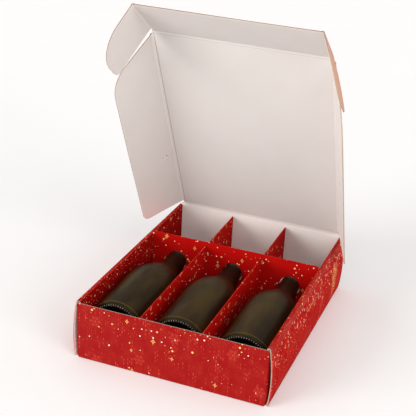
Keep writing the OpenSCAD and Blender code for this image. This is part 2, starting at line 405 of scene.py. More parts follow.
class Motif(NamedTuple):
    """What a print holds: the share of each motif, the heights where it grows dense, and its ground."""

    dots: float
    streaks: float = 0.0
    rain: float = 0.0
    drawn: bool = False
    fade: tuple = ()
    flutes_along: bool = False
    worn: float = 0.0
    # A share that scales the red ground: painted light above 1, painted shade below 1
    tone: float = 1.0
    stars: float = 0.75
    shower: tuple = ()
    mottle: float = 0.10
    gloss: float = 0.02


class DotLayer(NamedTuple):
    """A layer of dots: shift on the sheet, spread, size, share of dots and share of cream ones."""

    shift: float
    spread: float
    size: float
    share: float
    cream: float


def printed_finish(name, colours, board, motif):
    """Red print with dots, sparkles, streaks, snowflakes and rain."""
    finish = Finish(name)
    flat = finish.flat()
    x, y, _ = finish.parts(flat)
    # The red is scaled per surface, which paints light and shade
    red, light = (shaded(colour, motif.tone) for colour in (colours.red, colours.light_red))
    gold, cream = tuple(colours.gold), tuple(colours.cream)
    density = finish.ramp(y, *motif.fade, 0.14, 1.0) if motif.fade else 1.0
    # Random tone of the ink
    tone = finish.noise(flat, 55.0, 4.0)
    paint = finish.mix(finish.ramp(tone, 0.35, 0.7, 0.0, motif.mottle), red, light)
    if motif.streaks:
        share = density * 0.10 + motif.streaks
        runs = streaks(finish, flat, colours.streak_pitch, share, colours.streak_dash)
        patchy = finish.ramp(finish.noise(flat, 34.0, 2.0), 0.40, 0.62, 0.15, 0.75)
        paint = finish.mix(runs * patchy, paint, light)
    if motif.drawn:
        paint = finish.mix(flakes(finish, flat, colours) * 0.5, paint, light)
    if motif.rain:
        shifted = finish.vector("ADD", flat, (0.83, 0.29, 0.0))
        share = (density * 0.65 + 0.35) * motif.rain
        drops = streaks(finish, shifted, colours.streak_pitch * 1.15, share, colours.rain_dash)
        paint = finish.mix(drops * 0.7, paint, cream)
    for layer in (DotLayer(0.0, 1.0, 0.5, motif.dots, 0.5), DotLayer(0.37, 2.2, 0.95, 0.62, 0.75),
                  DotLayer(0.71, 4.2, 1.35, 0.6, 0.1)):
        shifted = finish.vector("ADD", flat, (layer.shift, layer.shift, 0.0))
        spots, hue = dots(finish, shifted, colours, layer.spread, layer.size, density * layer.share)
        paint = finish.mix(spots, paint, finish.mix(hue > layer.cream, cream, gold))
    if motif.shower:
        paint = finish.mix(shower(finish, flat, colours, motif.shower), paint, gold)
    paint = finish.mix(sparkles(finish, flat, colours, motif.stars) * 0.9, paint, gold)
    flute = flutes(y if motif.flutes_along else x, board)
    if motif.worn:
        rubbed = finish.ramp(flute, 0.62, 0.9) * finish.ramp(tone, 0.36, 0.6, 0.3, 1.0)
        paint = finish.mix(rubbed * motif.worn, paint, light)
    grain = finish.noise(flat, 900.0, 2.0)
    finish.set(Base_Color=paint, Roughness=finish.ramp(grain, 0.2, 0.8, 0.42, 0.56),
               Specular_IOR_Level=motif.gloss)
    finish.bump(grain * 0.15 + flute, 0.05 * MM, 0.6)
    return finish.material


def liner_finish(name, white, colours, board):
    """Plain liner with soft mottling, fibres and the flutes showing faintly through."""
    finish = Finish(name)
    flat = finish.flat()
    _, y, _ = finish.parts(flat)
    cloud = finish.noise(flat, 26.0, 4.0)
    fibre = finish.noise(finish.vector("MULTIPLY", flat, (1.0, 0.35, 1.0)), 1400.0, 3.0)
    flute = flutes(y, board)
    shade = finish.ramp(cloud, 0.3, 0.75, 0.0, 0.045) + finish.ramp(fibre, 0.55, 0.8, 0.0, 0.045)
    shade = shade + flute * 0.02
    finish.set(Base_Color=finish.mix(shade, white, tuple(colours.core)),
               Roughness=finish.ramp(fibre, 0.2, 0.8, 0.72, 0.88), Specular_IOR_Level=0.25)
    finish.bump(fibre * 0.2 + flute, 0.045 * MM, 0.5)
    return finish.material


def edge_finish(name, brown, colours, board):
    """Cut edge of the board: two liners, the waving medium between them, near-black painted shade in the
    hollows, and a trace of ink outside.
    """
    finish = Finish(name)
    along, across, _ = finish.parts(finish.flat())
    height = across / (BOARD / 2)
    medium = finish.ramp(abs(swing(along, board.flute_pitch) * -0.62 + height), 0.34, 0.18)
    liners = finish.ramp(abs(height), 0.74, 0.82)
    solid = finish.math("MAXIMUM", medium, liners)
    fibre = finish.noise(finish.place(), 1200.0, 3.0)
    shade = finish.ramp(fibre, 0.3, 0.7, brown, brown + 0.4)
    paper = finish.mix(shade, tuple(colours.liner), tuple(colours.core))
    # The hollows between the liners and the medium are painted shade
    paint = finish.mix(solid, shaded(colours.core, 0.42), paper)
    ink = finish.ramp(height, -0.35, -0.75) * finish.ramp(fibre, 0.3, 0.6, 0.45, 0.9)
    finish.set(Base_Color=finish.mix(ink, paint, tuple(colours.light_red)),
               Roughness=0.9, Specular_IOR_Level=0.15)
    finish.bump(solid, 0.1 * MM, 0.6)
    return finish.material


def scuff_finish(name, brown):
    """Torn fibres of the liner, white with brown specks, where dense specks are also painted shadow. brown is
    the share of the specks.
    """
    finish = Finish(name)
    fibre = finish.noise(finish.place(), 520.0, 3.0)
    specks = finish.ramp(fibre, 0.75 - 0.5 * brown, 0.85 - 0.5 * brown)
    finish.set(Base_Color=finish.mix(specks, (0.92, 0.90, 0.88, 1.0), (0.16, 0.10, 0.07, 1.0)),
               Roughness=0.95, Specular_IOR_Level=0.1)
    finish.bump(fibre, 0.2 * MM, 0.8)
    return finish.material


def glass_finish(name, settings, base):
    """Dark satin glass, uneven, with a yellow-green painted glow in patches and in a band above the heel; or
    the base's near-black glass, painted shade with a trace of dust.
    """
    finish = Finish(name)
    place = finish.place()
    _, height, _ = finish.parts(finish.flat())
    uneven_and_glow = finish.noise(finish.vector("MULTIPLY", place, (1.0, 0.3, 1.0)), 42.0, 3.0)
    dusty = finish.noise(place, 420.0, 2.0)
    glow = tuple(settings.thick_glass)
    if base:
        # The base and the punt are a near-black copy of the glass: painted shade, with a trace of real dust
        dust = finish.ramp(dusty, 0.3, 0.7)
        paint = finish.mix(dust, (0.004, 0.003, 0.002, 1.0), (0.012, 0.009, 0.005, 1.0))
    else:
        # Patches of painted glow, as if light shone through the glass
        body = finish.mix(finish.ramp(uneven_and_glow, 0.35, 0.68, 0.0, 0.22), tuple(settings.glass), glow)
        # A band of painted glow just above the heel
        heel_glow = finish.ramp(height, 4.0 * MM, 5.2 * MM) * finish.ramp(height, 7.0 * MM, 5.6 * MM)
        body = finish.mix(heel_glow * 0.5, body, glow)
        # The shoulder and the neck grow nearly black towards the mouth: painted shade towards the cross
        # divider
        neck_shade = finish.ramp(height, settings.body_l * 0.85, settings.body_l + settings.shoulder_l, 0.0, 0.8)
        paint = finish.mix(neck_shade, body, (0.006, 0.004, 0.003, 1.0))
    finish.set(Base_Color=paint, Roughness=finish.ramp(dusty, 0.3, 0.7, 0.38, 0.46), Specular_IOR_Level=0.17,
               Specular_Tint=(1.0, 0.82, 0.58, 1.0))
    finish.bump(uneven_and_glow, 0.12 * MM, 0.3)
    return finish.material


def grip_highlight_finish(name):
    """The grip marks of a bottle's base, pale grey as a painted highlight and as real scuffing."""
    finish = Finish(name)
    # Noise varies the painted highlight and the scuffing of the marks
    worn = finish.ramp(finish.noise(finish.place(), 700.0, 2.0), 0.35, 0.65)
    finish.set(Base_Color=finish.mix(worn, (0.20, 0.19, 0.16, 1.0), (0.55, 0.52, 0.46, 1.0)),
               Roughness=0.3, Specular_IOR_Level=0.6)
    return finish.material


def floor_finish(settings):
    """Pale paper floor with a trace of grain."""
    finish = Finish("pale_floor")
    grain = finish.ramp(finish.noise(finish.place(), 6.0, 4.0), 0.3, 0.7, 0.0, 0.03)
    finish.set(Base_Color=finish.mix(grain, tuple(settings.floor_colour), (0.7, 0.7, 0.7, 1.0)),
               Roughness=0.9, Specular_IOR_Level=0.1)
    return finish.material


# Heights between which the prints of the walls and of the lid grow dense
WALL_FADE = (0.02, TRAY_HIGH.z * 0.9)
FRONT_FADE = (0.03, TRAY_HIGH.z * 1.05)
LID_FADE = (0.0, 0.5)

# Middles of the patches of fine golden dots on the side walls, from the middle of a wall and from the floor
PATCH_Y, PATCH_Z = 0.122, 0.050
PATCHES = ((RIGHT_AT + PATCH_Y, PATCH_Z, 0.0), (LEFT_AT - PATCH_Y, PATCH_Z, 0.0))

# Each print's red is scaled by its own share: lighter on the lit outer side walls and the dividers, darker on
# the front and the shaded inner walls, as painted light and shade
PRINTS = {
    "front_print": Motif(0.22, 0.42, 0.0, True, FRONT_FADE, True, tone=0.85, stars=0.4, gloss=0.1),
    "side_print": Motif(0.45, 0.42, 0.42, True, WALL_FADE, tone=1.17, stars=0.3, shower=PATCHES, mottle=0.14,
                        gloss=0.003),
    "inner_print": Motif(0.40, 0.40, 0.26, False, WALL_FADE, tone=0.8, stars=0.3, mottle=0.02, gloss=0.003),
    "lid_print": Motif(0.30, 0.42, 0.0, True, LID_FADE, True, stars=0.5),
    "divider_print": Motif(0.16, tone=1.24, mottle=0.02, gloss=0.008),
    "roll_print": Motif(0.30, worn=0.55),
    "fold_print": Motif(0.20, worn=0.8),
}

# Colours and shades of the liners, and shares of brown in the cut edges and the torn marks. A shade above 1
# is painted light, one below 1 painted shade.
# The tray's liner and the creases' liner are lighter copies of the liner: painted light in the tray, a
# painted highlight along the creases
LINERS = {"liner": ("liner", 1.0), "tray_liner": ("liner", 1.1), "crease_liner": ("liner", 1.1),
          # The score lines take darker copies of the liner, which are painted shade in their grooves
          "faint_score": ("liner", 0.8), "score_liner": ("score", 1.0), "ear_back": ("bare", 1.0)}
# The lid's kraft edges take more brown, partly as painted shade of the edges
EDGES = {"cut_edge": 0.1, "kraft_edge": 0.6}
SCUFFS = {"scuff": 0.3, "torn": 0.95}
MADE = {}


def make_finish(name):
    """Makes one of the finishes of the box."""
    scene = bpy.context.scene
    colours, board = scene.gift_print, scene.gift_board
    if name in PRINTS:
        return printed_finish(name, colours, board, PRINTS[name])
    if name in LINERS:
        colour, shade = LINERS[name]
        return liner_finish(name, shaded(getattr(colours, colour), shade), colours, board)
    if name in EDGES:
        return edge_finish(name, EDGES[name], colours, board)
    if name in SCUFFS:
        return scuff_finish(name, SCUFFS[name])
    if name in ("glass", "glass_base"):
        return glass_finish(name, scene.gift_bottle, name == "glass_base")
    if name == "glass_grip":
        return grip_highlight_finish(name)
    raise KeyError(name)


def finish_named(name):
    """One of the finishes of the box, made once."""
    if name not in MADE:
        MADE[name] = make_finish(name)
    return MADE[name]


def board_from(node):
    """A merged copy of a node's mesh with its flat faces whole."""
    bm = bmesh.new()
    bm.from_mesh(frame["nodes"][node].data)
    bmesh.ops.remove_doubles(bm, verts=bm.verts, dist=MERGE)
    bmesh.ops.dissolve_limit(bm, angle_limit=FLAT_ANGLE, verts=bm.verts, edges=bm.edges)
    bm.normal_update()
    return bm


def soften_cuts(bm, width):
    """Presses the cut edges of the board round."""
    cuts = [edge for edge in bm.edges if len(edge.link_faces) == 2 and edge.calc_face_angle() > CUT_ANGLE]
    bmesh.ops.bevel(bm, geom=cuts, offset=width, offset_type="OFFSET", segments=1, profile=0.5,
                    affect="EDGES", material=-1, clamp_overlap=True)
    bm.normal_update()


def slice_at(bm, origin, way, distances):
    """Cuts the faces along planes at these distances from a point."""
    for distance in distances:
        bmesh.ops.bisect_plane(bm, geom=bm.verts[:] + bm.edges[:] + bm.faces[:], dist=MERGE,
                               plane_co=origin + way * distance, plane_no=way)


def steps_between(low, high, pitch):
    """Even steps between two ends, about a pitch apart."""
    count = max(1, round((high - low) / pitch))
    return [low + (high - low) * index / count for index in range(1, count)]


def lay_sheet(bm, place):
    """Gives each corner of each face its place on the flat sheet."""
    layer = bm.loops.layers.uv.new("Sheet")
    for face in bm.faces:
        for loop in face.loops:
            loop[layer].uv = place(face, loop.vert.co)


def finish_piece(bm, name, body, finishes, node=None):
    """Makes the mesh an object that rides on a body, with hard edges where the surface turns sharply."""
    for edge in bm.edges:
        turn = edge.calc_face_angle() if len(edge.link_faces) == 2 else math.pi
        edge.smooth = turn < SHARP_ANGLE
    for face in bm.faces:
        face.smooth = True
    mesh = bpy.data.meshes.new(name)
    bm.to_mesh(mesh)
    bm.free()
    piece = bpy.data.objects.new(name, mesh)
    bpy.context.scene.collection.objects.link(piece)
    for finish in finishes:
        mesh.materials.append(finish_named(finish))
    if body:
        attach(piece, body)
    if node:
        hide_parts(node)
    return piece


class BoardPanel:
    """A flat panel of the blank: its fold line, and the ways along it, out from it and to the inside."""

    def __init__(self, node, body, joint, along):
        self.node = node
        self.body = body
        self.joint = joint
        self.fold = Vector(JOINTS[joint]["pos_m"])
        self.along = along
        mesh = frame["nodes"][node].data
        face = max(mesh.polygons, key=lambda polygon: polygon.area)
        middle = sum((vertex.co for vertex in mesh.vertices), Vector()) / len(mesh.vertices)
        self.inside = face.normal.copy()
        if self.inside.dot(TRAY_MIDDLE - middle) < 0:
            self.inside.negate()
        self.out = self.inside.cross(along)
        if self.out.dot(middle - self.fold) < 0:
            self.out.negate()

    def split(self, point):
        """Distances along the fold, out from it and to the inside."""
        way = point - self.fold
        return way.dot(self.along), way.dot(self.out), way.dot(self.inside)


def panels():
    """The panels that swing on folds, by the names of their nodes."""
    return {panel.node: panel for panel in (
        BoardPanel("lid_panel", "lid", "lid_hinge", RIGHT),
        BoardPanel("left_side_flap", "left_flap", "left_flap_fold", LID_WAY),
        BoardPanel("right_side_flap", "right_flap", "right_flap_fold", LID_WAY),
        BoardPanel("tuck_flap", "tuck", "tuck_fold", RIGHT),
        BoardPanel("left_ear", "left_tuck_ear", "left_ear_fold", TUCK_WAY),
        BoardPanel("right_ear", "right_tuck_ear", "right_ear_fold", TUCK_WAY))}


PRINT, LINER, EDGE, SCORE, FAINT = range(5)


class ScoreLine(NamedTuple):
    """A line pressed into a panel, across a way at a distance from the fold, and which finish it has."""

    way: Vector
    distance: float
    finish: int

    def near(self, reach, margin):
        return abs(reach.dot(self.way) - self.distance) < margin


def paint_panel(bm, panel, scores, half):
    """Print outside, liner inside and the bare core on the cut edges of a panel."""
    for face in bm.faces:
        middle = face.calc_center_median()
        facing = face.normal.dot(panel.inside)
        least = 0.0 if panel.split(middle)[1] < BOARD / 2 else LEANS
        if facing > least:
            face.material_index = LINER
        elif facing < -least:
            face.material_index = PRINT
        else:
            face.material_index = EDGE
        for score in scores:
            if face.material_index == LINER and score.near(middle - panel.fold, half):
                # Faces of a score line take a darker liner: painted shade in the groove
                face.material_index = score.finish

    def place(face, point):
        along, out, deep = panel.split(point)
        if face.material_index == EDGE:
            return point.dot(face.normal.cross(panel.inside)), deep
        return along, out

    lay_sheet(bm, place)


def press_scores(bm, panel, scores, depth, half):
    """Presses score lines into the liner of a panel."""
    for score in scores:
        slice_at(bm, panel.fold, score.way, (score.distance - half, score.distance, score.distance + half))
    for vertex in bm.verts:
        reach = vertex.co - panel.fold
        on_liner = reach.dot(panel.inside) >= BOARD / 4
        if on_liner and any(score.near(reach, half / 2) for score in scores):
            vertex.co -= panel.inside * depth


def curl(bm, panel, amount, bend):
    """Curls the free edge of a panel unevenly, bends it in as a whole, and leaves its fold in place."""
    reaches = [panel.split(vertex.co)[1] for vertex in bm.verts]
    far = max(reaches)
    for vertex, out in zip(bm.verts, reaches):
        along = panel.split(vertex.co)[0]
        share = max(out, 0.0) / far
        swell = noise.noise(Vector((along * 6.0, out * 5.0, far * 40.0)))
        vertex.co += panel.inside * share * share * (amount * (0.5 + swell) + bend)


def dress_panel(panel, scores, amount, outside="lid_print", bend=0.0):
    """A panel of the lid, with rounded cut edges, score lines and a slight curl."""
    board = bpy.context.scene.gift_board
    bm = board_from(panel.node)
    soften_cuts(bm, board.edge_round)
    press_scores(bm, panel, scores, board.score_depth, board.score_half)
    splits = [panel.split(vertex.co) for vertex in bm.verts]
    for axis, way in enumerate((panel.along, panel.out)):
        spread = [split[axis] for split in splits]
        slice_at(bm, panel.fold, way, steps_between(min(spread), max(spread), board.grid))
    curl(bm, panel, board.warp * amount, bend)
    bm.normal_update()
    paint_panel(bm, panel, scores, board.score_half)
    finish_piece(bm, panel.node + "_board", panel.body,
                 (outside, "liner", "kraft_edge", "score_liner", "faint_score"), panel.node)


class Mark(NamedTuple):
    """A torn mark on a panel's liner: its path along the fold and out from it and its width, in mm."""

    name: str
    node: str
    path: tuple
    width: float
    finish: str


MARKS = (
    Mark("flap_scratch", "left_side_flap",
         ((109.4, 27.0), (109.8, 23.5), (110.4, 20.0), (110.6, 17.0), (111.0, 14.0)), 2.0, "scuff"),
    # The dark brown marks beside the scratch are torn paper and painted shadow of its ridge
    Mark("flap_tear", "left_side_flap", ((111.4, 22.2), (111.9, 20.6), (111.7, 18.8)), 2.2, "torn"),
    Mark("flap_fleck", "left_side_flap", ((112.3, 15.8), (112.9, 14.0), (112.6, 12.4)), 2.4, "torn"),
    Mark("lid_nick", "lid_panel", ((-43.9, 5.0), (-43.4, 8.5), (-43.7, 12.0)), 1.0, "scuff"),
)

# How far the sides of a torn mark sink into the liner, and how high its ridge stands above them
MARK_SUNK = 0.05 * MM
MARK_RIDGE = 0.35 * MM


def tear(panel, mark):
    """Raises a ridge of torn paper along a mark, thin at both ends."""
    bm = bmesh.new()
    rows = []
    last = len(mark.path) - 1
    surface = panel.fold + panel.inside * (BOARD / 2 - MARK_SUNK)
    for index, (along, out) in enumerate(mark.path):
        share = 0.25 + 0.75 * math.sin(math.pi * index / last)
        at = surface + (panel.along * along + panel.out * out) * MM
        ahead = Vector(mark.path[min(index + 1, last)]) - Vector(mark.path[max(index - 1, 0)])
        ahead.normalize()
        side = (panel.along * -ahead.y + panel.out * ahead.x) * mark.width * MM / 2 * share
        ridge = panel.inside * MARK_RIDGE * share
        rows.append([bm.verts.new(at + side), bm.verts.new(at + ridge), bm.verts.new(at - side)])
    for row, following in zip(rows, rows[1:]):
        for first, second in ((0, 1), (1, 2), (2, 0)):
            bm.faces.new((row[first], row[second], following[second], following[first]))
    bm.faces.new(rows[0])
    bm.faces.new(reversed(rows[-1]))
    bmesh.ops.recalc_face_normals(bm, faces=bm.faces)
    lay_sheet(bm, lambda face, point: panel.split(point)[:2])
    finish_piece(bm, mark.name, panel.body, (mark.finish,))


class GIFTBOX_OT_lid(bpy.types.Operator):
    """Dresses the lid, its side flaps, the tuck flap and its ears"""

    bl_idname = "giftbox.lid"
    bl_label = "Lid"

    def execute(self, context):
        board = context.scene.gift_board
        inset = board.score_inset
        every = panels()
        lid, tuck = every["lid_panel"], every["tuck_flap"]
        lid_l = (TUCK_FOLD - HINGE).length
        dress_panel(lid, (ScoreLine(lid.out, inset, FAINT), ScoreLine(lid.out, lid_l - inset, FAINT),
                          ScoreLine(lid.along, FLAP_FOLD_X - inset / 2, FAINT),
                          ScoreLine(lid.along, inset - FLAP_FOLD_X, SCORE)), 0.0)
        dress_panel(tuck, (ScoreLine(tuck.out, inset, FAINT),), 0.6)
        dress_panel(every["left_side_flap"], (), 1.0)
        dress_panel(every["right_side_flap"], (), 0.4, bend=board.flap_bend)
        # The ears' outer side takes a salmon finish, which is a painted highlight of the print
        dress_panel(every["left_ear"], (), 0.5, "ear_back")
        dress_panel(every["right_ear"], (), 0.3, "ear_back", board.ear_bend)
        for mark in MARKS:
            tear(every[mark.node], mark)
        return {"FINISHED"}


FRONT_PRINT, SIDE_PRINT, ROLL_PRINT, TRAY_LINER, TRAY_EDGE, INNER_PRINT = range(6)


def tray_side(face):
    """Which finish a face of the tray has, from its place and the way it faces."""
    middle, normal = face.calc_center_median(), face.normal
    x, y, z = (abs(value) for value in middle)
    in_side_wall = x > INNER_X
    corner_tab = INNER_X + BOARD < x < INNER_X + 2.5 * BOARD and y > TRAY_HIGH.y - 1.2 * BOARD
    below_roll = z < TRAY_HIGH.z - 4 * BOARD
    if corner_tab and below_roll and abs(normal.z) < LEANS and normal.y * middle.y > 0:
        return FRONT_PRINT
    if abs(normal.y) > SLANTS and in_side_wall and y > TRAY_HIGH.y - BOARD:
        return TRAY_EDGE
    if abs(normal.y) > LOOKS:
        return FRONT_PRINT if y > TRAY_HIGH.y - BOARD / 2 else TRAY_LINER
    if abs(normal.z) > LOOKS:
        if middle.z < BOARD / 2:
            return FRONT_PRINT
        if middle.z < 2 * BOARD:
            return TRAY_LINER
        return ROLL_PRINT if in_side_wall and y < TRAY_HIGH.y - BOARD else TRAY_EDGE
    if z > TRAY_HIGH.z - 5 * BOARD and in_side_wall and abs(normal.z) > ROLLS:
        return ROLL_PRINT
    if normal.x * middle.x > 0:
        return SIDE_PRINT if x > INNER_X + 2 * BOARD else TRAY_LINER
    return INNER_PRINT if x < INNER_X + BOARD else TRAY_LINER


def wall_depth(board, point):
    """How far a point of a side wall lies from the middle of its board, less outwards."""
    x = abs(point.x)
    if x < INNER_X + 1.2 * BOARD:
        return INNER_X + BOARD / 2 - x
    wall_top = TRAY_HIGH.z - board.wall_drop
    share = (point.z - BOARD) / (wall_top - 2 * BOARD)
    foot = TRAY_HIGH.x - board.wall_bow + board.top_inset / 2
    skin = foot - board.top_inset * share + board.wall_bow * (1 - (2 * share - 1) ** 2)
    return skin - BOARD / 2 - x


def tray_place(face, point):
    """Place on the flat sheet of a point of the tray."""
    kind = face.material_index
    if kind == TRAY_EDGE:
        if abs(face.normal.z) > LOOKS:
            return point.x, TRAY_HIGH.y - BOARD / 2 - abs(point.y)
        return point.z, wall_depth(bpy.context.scene.gift_board, point)
    if kind in (SIDE_PRINT, ROLL_PRINT, INNER_PRINT):
        start = RIGHT_AT if point.x > 0 else LEFT_AT
        return point.y + start, point.z + abs(point.x) * abs(face.normal.z)
    if abs(face.normal.y) > LOOKS:
        return point.x + (FRONT_AT if point.y < 0 else REAR_AT), point.z
    return point.x + FLOOR_AT, point.y


def crush_rolls(bm, wall_top, depth, pitch):
    """Cuts the rolled wall tops across and presses their flutes in."""
    def along_roll(edge):
        first, second = (vertex.co for vertex in edge.verts)
        return (abs(first.y - second.y) > LONG_EDGE and abs(first.x - second.x) < MERGE * 100
                and min(first.z, second.z) > wall_top - 1.2 * BOARD and abs(first.x) > INNER_X)

    long_edges = [edge for edge in bm.edges if along_roll(edge)]
    run = max(edge.calc_length() for edge in long_edges)
    cuts = round(run / pitch) * 4 - 1
    bmesh.ops.subdivide_edges(bm, edges=long_edges, cuts=cuts, use_grid_fill=True)
    for vertex in bm.verts:
        if abs(vertex.co.x) > INNER_X and abs(vertex.co.y) < TRAY_HIGH.y - BOARD:
            high = (vertex.co.z - wall_top + BOARD) / BOARD
            if high > 0:
                dip = 0.5 - 0.5 * math.cos(2 * math.pi * vertex.co.y / pitch)
                rough = 0.6 + 0.6 * noise.noise(vertex.co * 45.0)
                vertex.co.z -= depth * dip * rough * high


def press_rear_score(bm, board):
    """Presses a score line into the liner of the rear wall below the hinge."""
    inner_y = TRAY_HIGH.y - BOARD
    height = HINGE.z - board.score_inset
    for level in (height - board.score_half, height, height + board.score_half):
        geometry = set()
        for face in bm.faces:
            if face.normal.y < -SQUARE and abs(face.calc_center_median().y - inner_y) < MERGE:
                geometry.update((face, *face.edges, *face.verts))
        bmesh.ops.bisect_plane(bm, geom=list(geometry), dist=MERGE, plane_co=UP * level, plane_no=UP)
    for vertex in bm.verts:
        if abs(vertex.co.z - height) < board.score_half / 2 and abs(vertex.co.y - inner_y) < MERGE:
            vertex.co.y += board.score_depth


class GIFTBOX_OT_tray(bpy.types.Operator):
    """Dresses the folded tray with its rolled side walls"""

    bl_idname = "giftbox.tray"
    bl_label = "Tray"

    def execute(self, context):
        board = context.scene.gift_board
        bm = board_from("tray")
        wall_top = max(vertex.co.z for vertex in bm.verts if abs(vertex.co.x) > INNER_X + 2 * BOARD)
        soften_cuts(bm, board.edge_round)
        crush_rolls(bm, wall_top, board.ladder_depth, board.flute_pitch)
        press_rear_score(bm, board)
        bm.normal_update()
        for face in bm.faces:
            face.material_index = tray_side(face)
        lay_sheet(bm, tray_place)
        # The tray's liner is a lighter copy of the liner, which is painted light
        finish_piece(bm, "tray_board", "tray",
                     ("front_print", "side_print", "roll_print", "tray_liner", "cut_edge", "inner_print"),
                     "tray")
        return {"FINISHED"}


DIVIDER_PRINT, DIVIDER_EDGE, DIVIDER_TOP = range(3)

# How far along the sheet the print of a divider's second face begins after the first
DIVIDER_BACK_AT = 0.4


def divider_side(face, low, high, across, holed):
    """Which finish a face of a divider has. The rims of a holed divider's holes and slots take the red print,
    which is painted shade in place of their pale cut edge.
    """
    height = face.calc_center_median().z
    if abs(face.normal[across]) > LEANS:
        return DIVIDER_PRINT
    if face.normal.z > SLANTS and height > high.z - BOARD:
        return DIVIDER_TOP
    # Rims of the holes and slots: red print as painted shade inside the holes
    if holed and low.z + 2 * BOARD < height < high.z - BOARD:
        return DIVIDER_PRINT
    return DIVIDER_EDGE


def dress_divider(node, start):
    """A divider, whose print begins at start on the sheet. Its thickness lies along the axis across."""
    holed = node == "cross_divider"
    across = 1 if holed else 0
    bm = board_from(node)
    soften_cuts(bm, bpy.context.scene.gift_board.edge_round)
    low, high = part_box(node)
    middle = (low[across] + high[across]) / 2
    for face in bm.faces:
        face.material_index = divider_side(face, low, high, across, holed)

    def place(face, point):
        run, deep = point[1 - across], point[across] - middle
        if face.material_index == DIVIDER_EDGE:
            return run if abs(face.normal.z) > LOOKS else point.z, deep
        return run + start + (DIVIDER_BACK_AT if face.normal[across] > 0 else 0.0), point.z + deep

    lay_sheet(bm, place)
    finish_piece(bm, node + "_board", "tray", ("divider_print", "cut_edge", "fold_print"),
                 node)


class GIFTBOX_OT_dividers(bpy.types.Operator):
    """Dresses the cross divider and the two long dividers"""

    bl_idname = "giftbox.dividers"
    bl_label = "Dividers"

    def execute(self, context):
        for start, node in enumerate(("cross_divider", "left_divider", "right_divider")):
            dress_divider(node, start)
        return {"FINISHED"}


class Crease(NamedTuple):
    """A fold that moves: the panel that swings, the body it swings from, and the way and inside there."""

    panel: BoardPanel
    body: str
    way: Vector
    inside: Vector

    def section(self, side, lift, reach, turns=6):
        """Points of the paper from one panel round the fold to the other. side is 1 inside and -1 outside."""
        first, second = (inside * side * lift for inside in (self.inside, self.panel.inside))
        points = [first + self.way * reach]
        if first.dot(self.panel.out) > 0:
            half = first.angle(second) / 2
            points.append((first + second).normalized() * lift / math.cos(half))
        else:
            for index in range(turns + 1):
                points.append(first.lerp(second, index / turns).normalized() * lift)
        points.append(second + self.panel.out * reach)
        return points


def creases():
    """The folds that move, from the hinge to the ears."""
    every = panels()
    lid, tuck = every["lid_panel"], every["tuck_flap"]
    found = [Crease(lid, "tray", -UP, FRONT), Crease(tuck, "lid", -LID_WAY, lid.inside)]
    for side, name in ((-1, "left"), (1, "right")):
        found.append(Crease(every[name + "_side_flap"], "lid", -RIGHT * side, lid.inside))
        found.append(Crease(every[name + "_ear"], "tuck", -RIGHT * side, tuck.inside))
    return found


def strip_along(bm, section, start, end, pitch):
    """Draws a section and pulls it from one end of a fold to the other."""
    verts = [bm.verts.new(point + start) for point in section]
    edges = [bm.edges.new(pair) for pair in zip(verts, verts[1:])]
    count = max(1, round((end - start).length / pitch))
    for _ in range(count):
        made = bmesh.ops.extrude_edge_only(bm, edges=edges)["geom"]
        moved = {part for part in made if isinstance(part, bmesh.types.BMVert)}
        edges = [part for part in made
                 if isinstance(part, bmesh.types.BMEdge) and moved.issuperset(part.verts)]
        bmesh.ops.translate(bm, verts=list(moved), vec=(end - start) / count)


def bend_paper(crease, board):
    """Bends the inner and the outer paper of the board round a fold, as one piece that lies along both sides.
    """
    panel = crease.panel
    fold = panel.fold
    along = Vector(JOINTS[panel.joint]["axis"]).normalized()
    at_fold = [vertex.co for vertex in frame["nodes"][panel.node].data.vertices
               if panel.split(vertex.co)[1] < BOARD / 4]
    reach = [(point - fold).dot(along) for point in at_fold]
    start, end = fold + along * min(reach), fold + along * max(reach)
    bm = bmesh.new()
    for side, finish in ((1, LINER), (-1, PRINT)):
        before = set(bm.faces)
        section = crease.section(side, BOARD / 2 + board.crease_t / 2, board.crease_reach)
        strip_along(bm, section, start, end, board.grid)
        strip = [face for face in bm.faces if face not in before]
        bmesh.ops.recalc_face_normals(bm, faces=strip)
        bmesh.ops.solidify(bm, geom=strip, thickness=board.crease_t)
        for face in bm.faces:
            if face not in before:
                face.material_index = finish
    bmesh.ops.recalc_face_normals(bm, faces=bm.faces)
    lay_sheet(bm, lambda face, point: (along.dot(point - fold), panel.out.dot(point - fold)))
    # The inner paper round the fold is a lighter liner, a painted highlight along the fold
    piece = finish_piece(bm, panel.joint + "_paper", None, ("lid_print", "crease_liner"))
    fold + crease.way * board.crease_reach
    fold + panel.out * board.crease_reach
    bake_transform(piece)


class GIFTBOX_OT_creases(bpy.types.Operator):
    """Bends the papers of the board round each fold that moves"""

    bl_idname = "giftbox.creases"
    bl_label = "Creases"

    def execute(self, context):
        for crease in creases():
            bend_paper(crease, context.scene.gift_board)
        return {"FINISHED"}


def rounded(points, radii, steps=8):
    """The outline's points, with each corner that has a radius turned to an arc."""
    made = []
    for index, (corner, radius) in enumerate(zip(points, radii)):
        if not radius:
            made.append(corner)
            continue
        before = (points[index - 1] - corner).normalized()
        after = (points[index + 1] - corner).normalized()
        half = before.angle(after) / 2
        centre = corner + (before + after).normalized() * (radius / math.sin(half))
        first = corner + before * (radius / math.tan(half)) - centre
        second = corner + after * (radius / math.tan(half)) - centre
        turn = first.angle_signed(second)
        for step in range(steps + 1):
            made.append(centre + Matrix.Rotation(-turn * step / steps, 2) @ first)
    return made


